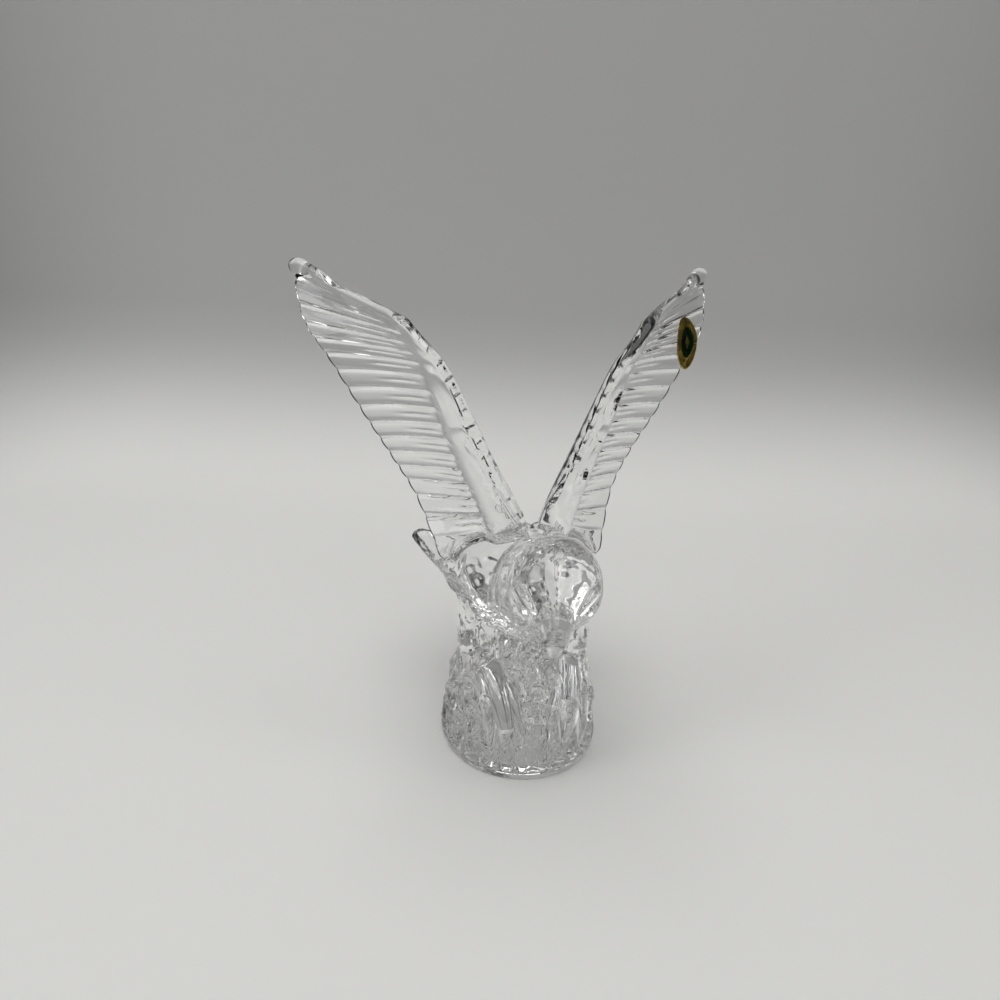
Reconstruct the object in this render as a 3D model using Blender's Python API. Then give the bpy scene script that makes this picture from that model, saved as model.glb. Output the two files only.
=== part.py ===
"""A clear crystal eagle with raised wings on a rough crystal rock, and the oval foil seal on one wing.

Metres, +Z up. The eagle faces -Y, and the origin is the middle of the flat underside.
"""

import math

import bmesh
import bpy
import numpy as np

# The eagle and its rock are one free form, drawn in units of about a millimetre and
# scaled to this height from the underside to the wing tips.
FIGURE_HEIGHT = 0.194
DRAWN_HEIGHT = 194.0
UNIT = FIGURE_HEIGHT / DRAWN_HEIGHT

# The foil seal is a bought label of its own size, stuck on the eagle's left wing.
SEAL_LENGTH = 0.020
SEAL_WIDTH = 0.015
SEAL_THICKNESS = 0.0004
SEAL_GAP = 0.0003
SEAL_FEATHER = 0.765  # share of the way from the innermost feather to the outermost
SEAL_CHORD = 0.87  # share of the way from the leading edge to the feather tips
SEAL_WING = 1  # the eagle's left
SEAL_FACE = -1  # the face of that wing that looks outwards and ahead
SEAL_SIDES = 20
SEAL_RINGS = [0.34, 0.67, 1]

# Wings: rails run from the innermost feather to the outermost. x is the distance from
# the middle of the bird.
WING_LEAD = [
    (2, -13, 100),
    (8, -9, 110),
    (16, -3, 125),
    (24, 2, 142),
    (32, 6.8, 158),
    (39.5, 9.4, 167.5),
    (48, 16, 176),
]
WING_TIPS = [
    (33, 8, 79),
    (42, 26, 101),
    (52, 34, 117),
    (63, 36, 135),
    (75, 40, 155),
    (86, 50, 171),
    (92, 68, 194),
]
WING_BONE = [0.26, 0.25, 0.23, 0.20, 0.15, 0.11, 0.08]  # chord share where feathers start
WING_ARM = [14, 13, 11.5, 10.5, 9, 8, 7]  # thickness of the muscled arm
WING_FEATHERS = 17
WING_ROOT_THICKNESS = 5.0
WING_TIP_THICKNESS = 2.0
WING_CAMBER = 3.0
WING_GROOVE = 0.85
WING_SCALLOP = 1.2
WING_BAND = 6.0  # thickness of the outermost feather, the wing's upper edge
BAND_FEATHERS = 1.3  # its width, in feathers
BAND_TAPER = 0.35  # how much thinner it gets towards its tip
BAND_START = 0.3  # chord share over which it rises from the leading edge
WING_CHORD_STEPS = [0, 0.04, 0.12, 0.22, 0.34, 0.5, 0.7, 0.86, 1]

# Tail: rails run from the eagle's right side to its left.
TAIL_LEAD = [(-29, 8, 70), (-15, 2, 76), (0, 0, 77), (15, 2, 76), (29, 8, 70)]
TAIL_TIPS = [(-43, 53, 70.5), (-24, 60, 69.5), (0, 62, 67.5), (24, 60, 69.5), (43, 53, 70.5)]
TAIL_BONE = [0.3, 0.3, 0.3]
TAIL_ARM = [12, 15, 12]
TAIL_FEATHERS = 9
TAIL_ROOT_THICKNESS = 8.0
TAIL_TIP_THICKNESS = 5.0
TAIL_CAMBER = 2.0
TAIL_GROOVE = 0.9
TAIL_SCALLOP = 2.4
TAIL_CHORD_STEPS = [0, 0.18, 0.36, 0.54, 0.72, 0.88, 1]

GROOVE_SHARE = 0.17  # half width of the cut between two feathers, as a share of one feather
FEATHER_STEPS = [0, GROOVE_SHARE, 0.5, 1 - GROOVE_SHARE]
CUT_RUN = 0.1  # chord share over which a cut deepens, from where the feathers start
ARM_REACH = 1.6  # chord share that the arm's swelling covers, against where the feathers start
LEADING_ROUND = 0.05  # chord share that rounds the leading edge
SIDE_ROUND = 0.5  # share of a feather that rounds the blade's two side edges
LEAST_EDGE = 0.5

# Each wing ends in a small knob.
KNOB = (90.6, 66.2, 191.3)
KNOB_RADIUS = 2.5
BALL_STEPS = 2  # how often the faces of a knob or an eye are split

# Body, from the rump to the neck: x, y, z of the middle, half width, half height, and
# how far the section leans back, in degrees.
BODY = [
    (0, 43, 70, 14, 1.2, -10),
    (0, 33, 71.5, 26, 7, -8),
    (0, 20, 71.5, 32.5, 14, -3),
    (0, 6, 73, 31.5, 20, 4),
    (0, -8, 76.5, 28, 21.5, 12),
    (0, -20, 80.5, 25, 21.5, 20),
    (-1, -32, 87, 21, 19.5, 26),
    (-3, -43, 94, 17.8, 17.5, 28),
    (-4.5, -53, 100.5, 15.6, 15.3, 24),
    (-6, -62, 105, 12.5, 12.5, 18),
]
BODY_SIDES = 24

# Head and hooked beak: distance ahead and above the head's middle, half width, half
# height, and how far the section leans forward, in degrees.
HEAD_MIDDLE = (-6, -65, 106)
HEAD_TURN = -12.0
HEAD_DROP = 14.0
HEAD = [
    (-15, -3, 9, 9.5, 0),
    (-11, -1, 12.6, 12.8, 0),
    (-4, 0, 15, 15.2, 0),
    (3, 0, 15, 15, 0),
    (7.5, -0.8, 13.6, 13, 4),
    (11, -1.8, 10.4, 10.4, 8),
    (13.4, -2.2, 7.4, 7.8, 12),
    (15.6, -2.4, 5.4, 6.2, 18),
    (17.8, -3.2, 4.6, 5.4, 32),
    (19.7, -4.8, 3.7, 4.3, 52),
    (20.7, -7, 2.6, 3.1, 72),
    (20.6, -9.3, 1.5, 1.9, 88),
    (19.9, -11.3, 0.6, 0.8, 102),
]
HEAD_SIDES = 20
EYE = (10.2, 9.2, -0.4)
EYE_RADIUS = 2.6
BROW = [(2, 12.6, 4, 1.4), (6, 11.8, 4.9, 2.2), (10, 9.8, 4.0, 2.2), (14, 6.2, 0.8, 1.4)]

# Legs: a feathered thigh and three toes forward, as x, y, z and radius. A toe's x is the share
# of its sideways spread and inward lean.
THIGH = [
    (17, 3, 74, 8),
    (18.5, 2, 63, 9.8),
    (18.7, 0, 52, 9.8),
    (18.8, -3, 43, 9),
    (18.5, -6, 36, 7.5),
    (18, -8, 30, 5),
]
THIGH_DEPTH = 1.5
TOE_SPREAD = [-6.5, 0, 6.5]
TOE = [
    (0, -8, 38, 4.6),
    (0.3, -18, 38, 4.6),
    (0.6, -27, 34, 3.9),
    (0.9, -32.5, 25, 2.8),
    (1.0, -32.5, 15, 0.9),
]
TOE_SIZE = [0.8, 1.3, 0.8]  # radius of each toe, against the middle values above
TOE_INWARD = 6.0
TOE_ROOT_SPREAD = 0.35  # share of the sideways spread that a toe starts with
THIGH_SIDES = 14
TOE_SIDES = 10
BROW_SIDES = 10

# Rock and the boulder between the feet: x, y, z and mean radius of each course, from below.
ROCK = [
    (0, 0, 0, 33.6),
    (0, 0, 2.6, 34),
    (0, 0, 3.2, 33.4),
    (0, 0, 10, 33.2),
    (0, 0, 18, 32.2),
    (0, 0, 26, 31),
    (0, 0, 32, 29.4),
    (0, 0, 36, 27),
    (0, 0, 39, 21),
]
ROCK_SIDES = 48
ROCK_RIM_COURSES = 2  # the polished foot band has no relief
ROCK_DEPTH = 1.04  # front to back, against side to side
BOULDER = [
    (0, -9, 33, 15),
    (0.5, -11, 42, 13.5),
    (1, -12.5, 51, 12),
    (1.5, -14.5, 58, 9),
    (1.5, -16.5, 61.5, 5),
]
BOULDER_SIDES = 24
BOULDER_DEPTH = 1.5
# Relief: bumps around the rock, where they start, how they drift with height, and depth share.
ROCK_WAVES = [
    (5, 2.4, 1.3, 0.012),
    (9, 2.1, -0.8, 0.016),
    (14, 0.4, 0.5, 0.014),
    (28, 1.7, 0.2, 0.016),
]
BOULDER_WAVES = [(4, 0.6, 1.1, 0.05), (7, 2.6, -0.7, 0.04), (11, 0.3, 0.9, 0.03)]
WAVE_HEIGHT = 24.0

GLASS_COLOUR = (0.93, 0.94, 0.92, 1)
GLASS_ROUGHNESS = 0.02
GLASS_IOR = 1.54
FOIL_COLOUR = (0.62, 0.47, 0.12, 1)
FOIL_ROUGHNESS = 0.3


def clear_scene():
    for old in list(bpy.data.objects):
        bpy.data.objects.remove(old)


def collection(name):
    made = bpy.data.collections.new(name)
    bpy.context.scene.collection.children.link(made)
    return made


def along(points, share):
    """Places on the smooth curve through the points, for shares from 0 to 1."""
    points = np.asarray(points, float).reshape(len(points), -1)
    place = np.clip(share, 0, 1) * (len(points) - 1)
    first = np.minimum(np.floor(place).astype(int), len(points) - 2)
    s = (place - first)[..., None]
    run = np.vstack([2 * points[0] - points[1], points, 2 * points[-1] - points[-2]])
    p0, p1, p2, p3 = (run[first + k] for k in range(4))
    bend = (2 * p0 - 5 * p1 + 4 * p2 - p3) * s**2 + (3 * p1 - p0 - 3 * p2 + p3) * s**3
    return 0.5 * (2 * p1 + (p2 - p0) * s + bend)


def unit(vectors):
    return vectors / np.linalg.norm(vectors, axis=-1, keepdims=True)


def half_round(share):
    """0 at share 0, rising as a quarter of a circle to 1 at share 1 and staying there."""
    return np.sqrt(1 - (1 - np.clip(share, 0, 1)) ** 2)


def object_from_rings(name, rings):
    """One closed mesh through rings of points. Each end is closed by strips across it."""
    bm = bmesh.new()
    rows = [[bm.verts.new(point * UNIT) for point in ring] for ring in rings]
    count = len(rows[0])
    for row, following in zip(rows, rows[1:]):
        for i in range(count):
            j = (i + 1) % count
            bm.faces.new((row[i], row[j], following[j], following[i]))
    for end in (rows[0], rows[-1]):
        for i in range(count // 2 - 1):
            bm.faces.new((end[i], end[i + 1], end[count - 2 - i], end[count - 1 - i]))
    bmesh.ops.recalc_face_normals(bm, faces=bm.faces)
    mesh = bpy.data.meshes.new(name)
    bm.to_mesh(mesh)
    bm.free()
    return bpy.data.objects.new(name, mesh)


def oval(middle, across, upward, half_width, half_height, sides):
    turn = (np.arange(sides) + 0.5) / sides * math.tau
    return (
        np.asarray(middle, float)
        + np.outer(np.cos(turn) * half_width, across)
        + np.outer(np.sin(turn) * half_height, upward)
    )


class Blade:
    """A fan of overlapping feathers: a wing or the tail."""

    def __init__(
        self, lead, tips, bone, arm, feathers, root_thick, tip_thick, camber, groove, scallop, band=0.0
    ):
        self.lead, self.tips, self.bone, self.arm = lead, tips, bone, arm
        self.feathers, self.root_thick, self.tip_thick = feathers, root_thick, tip_thick
        self.camber, self.groove, self.scallop, self.band = camber, groove, scallop, band

    def flat_place(self, u, v):
        lead, tips = along(self.lead, u), along(self.tips, u)
        return lead + (tips - lead) * v[..., None]

    def normal(self, u, v):
        step = 1e-3
        spanwise = self.flat_place(u + step, v) - self.flat_place(u - step, v)
        chordwise = self.flat_place(u, v + step) - self.flat_place(u, v - step)
        return unit(np.cross(spanwise, chordwise))

    def feather_part(self, u):
        """How far across its own feather each point lies, from 0 to 1."""
        return np.clip(u, 0, 1 - 1e-9) * self.feathers % 1

    def cut(self, u, v):
        """Depth share of the cut between two feathers, which starts where the arm ends."""
        part = self.feather_part(u)
        bone = along(self.bone, u)[..., 0]
        start = np.clip((v - bone) / CUT_RUN, 0, 1)
        edge = np.minimum(u, 1 - u) * self.feathers < SIDE_ROUND
        deep = np.clip(1 - np.minimum(part, 1 - part) / GROOVE_SHARE, 0, 1)
        return np.where(edge, 0, deep * start)

    def thickness(self, u, v):
        bone, arm = along(self.bone, u)[..., 0], along(self.arm, u)[..., 0]
        width = np.clip(v / (ARM_REACH * bone), 0, 1)
        muscle = arm * np.sqrt(4 * width * (1 - width))
        vane = self.root_thick + (self.tip_thick - self.root_thick) * v
        vane = vane * half_round(v / LEADING_ROUND)
        last = np.clip((1 - u) * self.feathers / BAND_FEATHERS, 0, 1)
        band = self.band * (1 - BAND_TAPER * v) * np.sqrt(4 * last * (1 - last))
        band = band * half_round(v / BAND_START)
        thick = (muscle**4 + vane**4 + band**4) ** 0.25
        side = np.minimum(u, 1 - u) * self.feathers / SIDE_ROUND
        return np.maximum(thick * half_round(side), LEAST_EDGE)

    def place(self, u, v, face, carved=True):
        """A point on one face: face is 1 on the side that the rails' normal points to, or -1.
        Uncarved, it leaves out the feathers' cuts and the scalloped edge."""
        point = self.flat_place(u, v)
        half = self.thickness(u, v) / 2
        if carved:
            part = self.feather_part(u)
            reach = self.scallop * (1 - (2 * part - 1) ** 2) * v**3
            point = point + unit(along(self.tips, u) - along(self.lead, u)) * reach[..., None]
            half = np.maximum(half - self.groove * self.cut(u, v), LEAST_EDGE / 2)
        rise = self.camber * 4 * v * (1 - v) + face * half
        return point + self.normal(u, v) * rise[..., None]

    def rings(self, feather_steps, chord_steps):
        ends = [k + s for k in range(self.feathers) for s in feather_steps] + [self.feathers]
        v = np.array(chord_steps, float)
        rings = []
        for end in ends:
            u = np.full_like(v, end / self.feathers)
            front, back = self.place(u, v, 1), self.place(u, v, -1)
            rings.append(np.vstack([front, back[::-1]]))
        return rings


def wing_blade(side):
    """side is -1 for the eagle's right wing and 1 for its left."""
    return Blade(
        [(side * x, y, z) for x, y, z in WING_LEAD],
        [(side * x, y, z) for x, y, z in WING_TIPS],
        WING_BONE,
        WING_ARM,
        WING_FEATHERS,
        WING_ROOT_THICKNESS,
        WING_TIP_THICKNESS,
        side * WING_CAMBER,
        WING_GROOVE,
        WING_SCALLOP,
        WING_BAND,
    )


def tail_blade():
    return Blade(
        TAIL_LEAD,
        TAIL_TIPS,
        TAIL_BONE,
        TAIL_ARM,
        TAIL_FEATHERS,
        TAIL_ROOT_THICKNESS,
        TAIL_TIP_THICKNESS,
        -TAIL_CAMBER,
        TAIL_GROOVE,
        TAIL_SCALLOP,
    )


def body():
    rings = []
    for x, y, z, half_width, half_height, lean in BODY:
        back = math.radians(lean)
        upward = (0, math.sin(back), math.cos(back))
        rings.append(oval((x, y, z), (1, 0, 0), upward, half_width, half_height, BODY_SIDES))
    return object_from_rings("body", rings)


def head_axes():
    """Across, ahead and upward directions of the head."""
    turn, drop = math.radians(HEAD_TURN), math.radians(HEAD_DROP)
    across = np.array((math.cos(turn), math.sin(turn), 0))
    level = np.array((math.sin(turn), -math.cos(turn), 0))
    ahead = level * math.cos(drop) - np.array((0, 0, math.sin(drop)))
    return across, ahead, np.cross(ahead, across)


def head_place(ahead_by, across_by, up_by):
    across, ahead, upward = head_axes()
    return np.array(HEAD_MIDDLE) + ahead * ahead_by + across * across_by + upward * up_by


def head():
    across, ahead, upward = head_axes()
    rings = []
    for ahead_by, up_by, half_width, half_height, lean in HEAD:
        forward = math.radians(lean)
        section_up = upward * math.cos(forward) + ahead * math.sin(forward)
        middle = head_place(ahead_by, 0, up_by)
        rings.append(oval(middle, across, section_up, half_width, half_height, HEAD_SIDES))
    return object_from_rings("head", rings)


def tapered(name, path, sides, across=(1, 0, 0), depth=1.0):
    """A round limb along a path of x, y, z and radius, with sections square to the path."""
    points = np.array([step[:3] for step in path], float)
    ways = unit(np.gradient(points, axis=0))
    rings = []
    for point, way, step in zip(points, ways, path):
        side = unit(np.cross(way, np.cross(across, way)))
        rings.append(oval(point, side, np.cross(way, side), step[3], step[3] * depth, sides))
    return object_from_rings(name, rings)


def brow(side):
    path = [(*head_place(a, side * x, z), radius) for a, x, z, radius in BROW]
    return tapered("brow", path, BROW_SIDES, (0, 0, 1))


def ball(name, middle, radius):
    bm = bmesh.new()
    bmesh.ops.create_icosphere(bm, subdivisions=BALL_STEPS, radius=radius * UNIT)
    bmesh.ops.translate(bm, verts=bm.verts, vec=np.array(middle) * UNIT)
    mesh = bpy.data.meshes.new(name)
    bm.to_mesh(mesh)
    bm.free()
    return bpy.data.objects.new(name, mesh)


def eye(side):
    ahead_by, across_by, up_by = EYE
    return ball("eye", head_place(ahead_by, side * across_by, up_by), EYE_RADIUS)


def knob(side):
    x, y, z = KNOB
    return ball("knob", (side * x, y, z), KNOB_RADIUS)


def legs(side):
    thigh_x = THIGH[-1][0]
    path = [(side * x, y, z, r) for x, y, z, r in THIGH]
    pieces = [tapered("thigh", path, THIGH_SIDES, depth=THIGH_DEPTH)]
    for spread, size in zip(TOE_SPREAD, TOE_SIZE):
        path = []
        for share, y, z, r in TOE:
            sideways = spread * (TOE_ROOT_SPREAD + (1 - TOE_ROOT_SPREAD) * share)
            path.append((side * (thigh_x - TOE_INWARD * share) + sideways, y, z, r * size))
        pieces.append(tapered("toe", path, TOE_SIDES))
    return pieces


def craggy(name, courses, sides, waves, depth, plain_courses=0):
    """A lump of rock: round courses whose radius wavers round the lump and with height."""
    rings = []
    turn = np.arange(sides) / sides * math.tau
    for course, (x, y, height, radius) in enumerate(courses):
        relief = np.ones(sides)
        if course >= plain_courses:
            for count, start, drift, share in waves:
                phase = start + drift * height / WAVE_HEIGHT * math.tau
                relief += share * np.sin(count * turn + phase)
        reach = radius * relief
        ring = [x + reach * np.cos(turn), y + reach * np.sin(turn) * depth, np.full(sides, height)]
        rings.append(np.stack(ring, axis=-1))
    return object_from_rings(name, rings)


def seal_place(blade, length_share, width_share, lift):
    """A point over the wing's front: shares from -1 to 1 reach the seal's edges, its length
    square to the feathers and its width along them."""
    step = 1e-3
    u, v = np.array([SEAL_FEATHER]), np.array([SEAL_CHORD])
    middle = blade.place(u, v, SEAL_FACE, carved=False)[0]
    spanwise = blade.place(u + step, v, SEAL_FACE, carved=False)[0] - middle
    chordwise = blade.place(u, v + step, SEAL_FACE, carved=False)[0] - middle
    along_feather = unit(chordwise)
    slip = np.dot(spanwise, along_feather)
    square = np.linalg.norm(spanwise - along_feather * slip)
    steps_out = length_share * SEAL_LENGTH / 2 / UNIT / square
    steps_back = (width_share * SEAL_WIDTH / 2 / UNIT - steps_out * slip) / np.linalg.norm(chordwise)
    u, v = u + steps_out * step, v + steps_back * step
    surface = blade.place(u, v, SEAL_FACE, carved=False)
    return (surface + SEAL_FACE * blade.normal(u, v) * lift / UNIT)[0]


def foil_seal():
    """A thin oval plate that follows the wing a small gap above its feathers."""
    blade = wing_blade(SEAL_WING)
    turn = (np.arange(SEAL_SIDES) + 0.5) / SEAL_SIDES * math.tau
    rings = []
    for lift, shares in ((SEAL_GAP, SEAL_RINGS), (SEAL_GAP + SEAL_THICKNESS, SEAL_RINGS[::-1])):
        for share in shares:
            ring = [seal_place(blade, share * math.cos(a), share * math.sin(a), lift) for a in turn]
            rings.append(np.array(ring))
    return object_from_rings("foil_seal", rings)


def glass():
    material = bpy.data.materials.new("clear_crystal")
    material.use_nodes = True
    shader = material.node_tree.nodes["Principled BSDF"]
    shader.inputs["Base Color"].default_value = GLASS_COLOUR
    shader.inputs["Roughness"].default_value = GLASS_ROUGHNESS
    shader.inputs["Transmission Weight"].default_value = 1
    shader.inputs["IOR"].default_value = GLASS_IOR
    return material


def foil():
    material = bpy.data.materials.new("gold_foil")
    material.use_nodes = True
    shader = material.node_tree.nodes["Principled BSDF"]
    shader.inputs["Base Color"].default_value = FOIL_COLOUR
    shader.inputs["Roughness"].default_value = FOIL_ROUGHNESS
    shader.inputs["Metallic"].default_value = 1
    return material


def main():
    clear_scene()
    figurine = collection("crystal_eagle_figurine")
    forms = collection("joined_forms")
    eagle = craggy("crystal_eagle", ROCK, ROCK_SIDES, ROCK_WAVES, ROCK_DEPTH, ROCK_RIM_COURSES)
    eagle.data.materials.append(glass())
    figurine.objects.link(eagle)
    pieces = [body(), head(), craggy("boulder", BOULDER, BOULDER_SIDES, BOULDER_WAVES, BOULDER_DEPTH)]
    pieces.append(object_from_rings("tail", tail_blade().rings(FEATHER_STEPS, TAIL_CHORD_STEPS)))
    for side in (-1, 1):
        wing_rings = wing_blade(side).rings(FEATHER_STEPS, WING_CHORD_STEPS)
        pieces += [object_from_rings("wing", wing_rings), knob(side), brow(side), eye(side), *legs(side)]
    for piece in pieces:
        forms.objects.link(piece)
        piece.hide_render = True
        piece.display_type = "WIRE"
    union = eagle.modifiers.new("joined", "BOOLEAN")
    union.operation = "UNION"
    union.operand_type = "COLLECTION"
    union.collection = forms
    seal = foil_seal()
    seal.data.materials.append(foil())
    figurine.objects.link(seal)


main()
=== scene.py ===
# A clear crystal eagle with raised wings, cut from one block with its rough rock, and the foil seal on one wing.
import math

import bmesh
import bpy
import numpy as np
from mathutils import Matrix, Vector
from mathutils.kdtree import KDTree


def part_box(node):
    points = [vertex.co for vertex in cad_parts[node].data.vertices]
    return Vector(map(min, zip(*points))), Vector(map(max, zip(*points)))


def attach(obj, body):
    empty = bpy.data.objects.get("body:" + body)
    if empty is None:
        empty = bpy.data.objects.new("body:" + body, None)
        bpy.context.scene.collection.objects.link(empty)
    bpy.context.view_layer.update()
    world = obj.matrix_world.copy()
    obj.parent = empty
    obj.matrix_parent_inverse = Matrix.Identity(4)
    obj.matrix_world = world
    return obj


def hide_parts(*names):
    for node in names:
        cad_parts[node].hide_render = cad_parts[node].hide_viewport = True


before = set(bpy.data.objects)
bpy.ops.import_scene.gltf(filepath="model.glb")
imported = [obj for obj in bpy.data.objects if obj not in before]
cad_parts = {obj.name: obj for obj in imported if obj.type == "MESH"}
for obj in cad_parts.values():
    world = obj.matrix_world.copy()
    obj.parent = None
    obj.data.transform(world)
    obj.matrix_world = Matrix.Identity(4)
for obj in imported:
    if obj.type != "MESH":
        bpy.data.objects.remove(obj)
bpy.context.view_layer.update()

# Lengths below are drawn in units of about a millimetre and sized by the solid's own height.
drawnHeight = 194.1
solidLow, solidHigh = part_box("crystal_eagle")
unit = (solidHigh[2] - solidLow[2]) / drawnHeight
print("frame loaded, one drawn unit is", round(unit, 6), "m")


# Curves and rings

def along(points, share):
    # places on the smooth curve through the points, for shares from 0 to 1
    points = np.asarray(points, float).reshape(len(points), -1)
    place = np.clip(share, 0, 1) * (len(points) - 1)
    first = np.minimum(np.floor(place).astype(int), len(points) - 2)
    s = (place - first)[..., None]
    run = np.vstack([2 * points[0] - points[1], points, 2 * points[-1] - points[-2]])
    p0, p1, p2, p3 = (run[first + k] for k in range(4))
    bend = (2 * p0 - 5 * p1 + 4 * p2 - p3) * s**2 + (3 * p1 - p0 - 3 * p2 + p3) * s**3
    return 0.5 * (2 * p1 + (p2 - p0) * s + bend)


def direction(vectors):
    return vectors / np.linalg.norm(vectors, axis=-1, keepdims=True)


def halfRound(share):
    # a quarter of a circle that rises from 0 to 1, then level
    return np.sqrt(1 - (1 - np.clip(share, 0, 1)) ** 2)


def smoothRise(share):
    share = np.clip(share, 0, 1)
    return share * share * (3 - 2 * share)


def addObject(name, mesh):
    made = bpy.data.objects.new(name, mesh)
    bpy.context.scene.collection.objects.link(made)
    return made


def turnOutward(mesh):
    # makes every face of a closed mesh point outwards
    bm = bmesh.new()
    bm.from_mesh(mesh)
    bmesh.ops.recalc_face_normals(bm, faces=bm.faces)
    bm.to_mesh(mesh)
    bm.free()


def meshObject(name, points, faces):
    mesh = bpy.data.meshes.new(name)
    mesh.from_pydata((np.asarray(points) * unit).tolist(), [], faces)
    turnOutward(mesh)
    return addObject(name, mesh)


def readVectors(items, name):
    values = np.empty(len(items) * 3)
    items.foreach_get(name, values)
    return values.reshape(-1, 3)


def readPoints(mesh):
    return readVectors(mesh.vertices, "co")


def writePoints(mesh, points):
    mesh.vertices.foreach_set("co", np.ravel(points))


def ringObject(name, rings):
    # one closed mesh through rings of points, each end closed by strips across it
    rings = np.asarray(rings)
    rows, count = rings.shape[:2]
    index = np.arange(rows * count).reshape(rows, count)
    beside = np.roll(index, -1, axis=1)
    faces = np.stack([index[:-1], beside[:-1], beside[1:], index[1:]], axis=-1).reshape(-1, 4).tolist()
    for end in (index[0].tolist(), index[-1].tolist()):
        faces += [[end[i], end[i + 1], end[count - 2 - i], end[count - 1 - i]] for i in range(count // 2 - 1)]
    return meshObject(name, rings.reshape(-1, 3), faces)


def ovalRing(middle, across, upward, halfWidth, halfHeight, sides):
    turn = (np.arange(sides) + 0.5) / sides * math.tau
    return (
        np.asarray(middle, float)
        + np.outer(np.cos(turn) * halfWidth, across)
        + np.outer(np.sin(turn) * halfHeight, upward)
    )


def tapered(name, path, sections, sides, across=(1, 0, 0), depth=1.0):
    # a round limb along a path of x, y, z and radius, with sections square to the path
    path = along(path, np.linspace(0, 1, sections))
    points = path[:, :3]
    ways = direction(np.gradient(points, axis=0))
    rings = []
    for point, way, radius in zip(points, ways, path[:, 3]):
        side = direction(np.cross(way, np.cross(across, way)))
        rings.append(ovalRing(point, side, np.cross(way, side), radius, radius * depth, sides))
    return ringObject(name, rings)


# Wings and tail: fans of feathers with a cut between each two

wingSizes = {
    "leadingRail": [(2, -13, 100), (8, -9, 110), (16, -3, 125), (24, 2, 142), (32, 6.8, 158), (39.5, 9.4, 167.5),
                    (48, 16, 176)],  # inner feather to outer, x from the middle of the bird
    "tipRail": [(33, 8, 79), (42, 26, 101), (52, 34, 117), (63, 36, 135), (75, 40, 155), (86, 50, 171),
                (90.5, 66.1, 191.9)],
    "featherStart": [0.26, 0.25, 0.23, 0.20, 0.15, 0.11, 0.08],  # chord share
    "arm": [14, 13, 11.5, 10, 7.4, 5.4, 4.8],  # thickness of the muscled arm
    "feathers": 17,
    "rootThickness": 5.0,
    "tipThickness": 1.1,
    "camber": 3.0,
    "cutDepth": 0.85,
    "scallop": 0.8,
    "band": 6.0,  # thickness of the outermost feather, the wing's upper edge
    "armReach": 1.6,
    "vaneCrown": 0.15,
    "chordPoints": 33,
    "barbs": 0,
    # thumb cuts in the outer face of the arm: u, v, half length, half width, depth
    "hollows": [(0.56, 0.10, 0.11, 0.08, 3.0), (0.80, 0.06, 0.05, 0.03, 0.6), (0.71, 0.09, 0.04, 0.05, 1.5),
                (0.445, 0.12, 0.035, 0.07, 1.6), (0.34, 0.11, 0.075, 0.06, 1.7), (0.2, 0.1, 0.05, 0.05, 1.4)],
    "outlines": [(0.35, 0.085, 0.105, 0.055, 0.9)],  # engraved there, in the same terms
}
tailSizes = {
    "leadingRail": [(-29, 8, 70), (-15, 2, 76), (0, 0, 77), (15, 2, 76), (29, 8, 70)],
    "tipRail": [(-43, 53, 70.5), (-24, 60, 69.5), (0, 62, 67.5), (24, 60, 69.5), (43, 53, 70.5)],
    "featherStart": [0.3, 0.3, 0.3],
    "arm": [12, 15, 12],
    "feathers": 9,
    "rootThickness": 8.0,
    "tipThickness": 5.0,
    "camber": -2.0,
    "cutDepth": 0.9,
    "scallop": 2.4,
    "band": 0.0,
    "armReach": 1.5,
    "vaneCrown": 0.3,
    "chordPoints": 30,
    "barbs": 11,  # short notches along the two side edges
    "hollows": [],
    "outlines": [],
}
cutSizes = {
    "halfWidth": 0.18,  # of one cut, in feathers
    "sharpness": 1.1,
    "quillWidth": 0.12,  # half width of the fine cut down the middle of a feather
    "quillDepth": 0.4,
    "quillStart": 0.12,  # chord share by which it starts later than the cuts between feathers
    "quillRise": 0.08,
    "quillEnd": 0.75,  # chord share where it has faded out
    "quillFade": 0.2,
    "startJitter": 0.02,  # how much the cuts' starts wander, in chord shares
    "startWave": (4.1, 0.3),  # the wave that they follow: its step from cut to cut, and its start
    "unevenness": 0.35,  # how much the cuts differ in depth
    "depthWave": (2.4, 0.7),
    "run": 0.14,  # chord share over which it deepens
    "innerDelay": 0.3,  # chord share by which it starts later on the inner face
    "innerRun": 0.3,
    "innerShare": 0.3,  # depth of the inner face's cuts against the outer's
    "hollowPower": 1.5,  # how steep a hollow's sides are
    "outlineWidth": 0.16,
    "barbDepth": 1.0,
    "barbReach": 0.7,  # of a feather, in from the side edge
    "bandFeathers": 1.3,
    "bandTaper": 0.35,
    "bandStart": 0.3,
    "blendPower": 4,  # higher keeps arm, vane and upper edge more apart
    "leadingRound": 0.05,
    "trailingRound": 0.012,
    "trailingStart": 1.004,
    "sideRound": 0.5,  # share of a feather
    "leastEdge": 0.5,
    "sectionsInCut": 5,
    "quillSections": [-1.5, -1, -0.5, 0, 0.5, 1, 1.5],  # in half widths of the fine cut
    "sideSections": [0, 0.02, 0.06, 0.12, 0.2, 0.32, 0.5, 0.7, 1],  # in feathers from a side edge
    "chordCrowding": 1.35,  # above 1, more chord points lie near the leading edge
}
railStep = 1e-3  # between two places where a blade's slope is taken


def arch(share):
    # a half circle over the shares from 0 to 1
    return np.sqrt(4 * share * (1 - share))


def waver(number, wave):
    step, start = wave
    return np.sin(number * step + start)


def ovalShare(u, v, oval):
    # 0 in the middle of an oval and 1 on its edge
    middleU, middleV, halfU, halfV = oval
    return np.hypot((u - middleU) / halfU, (v - middleV) / halfV)


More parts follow.
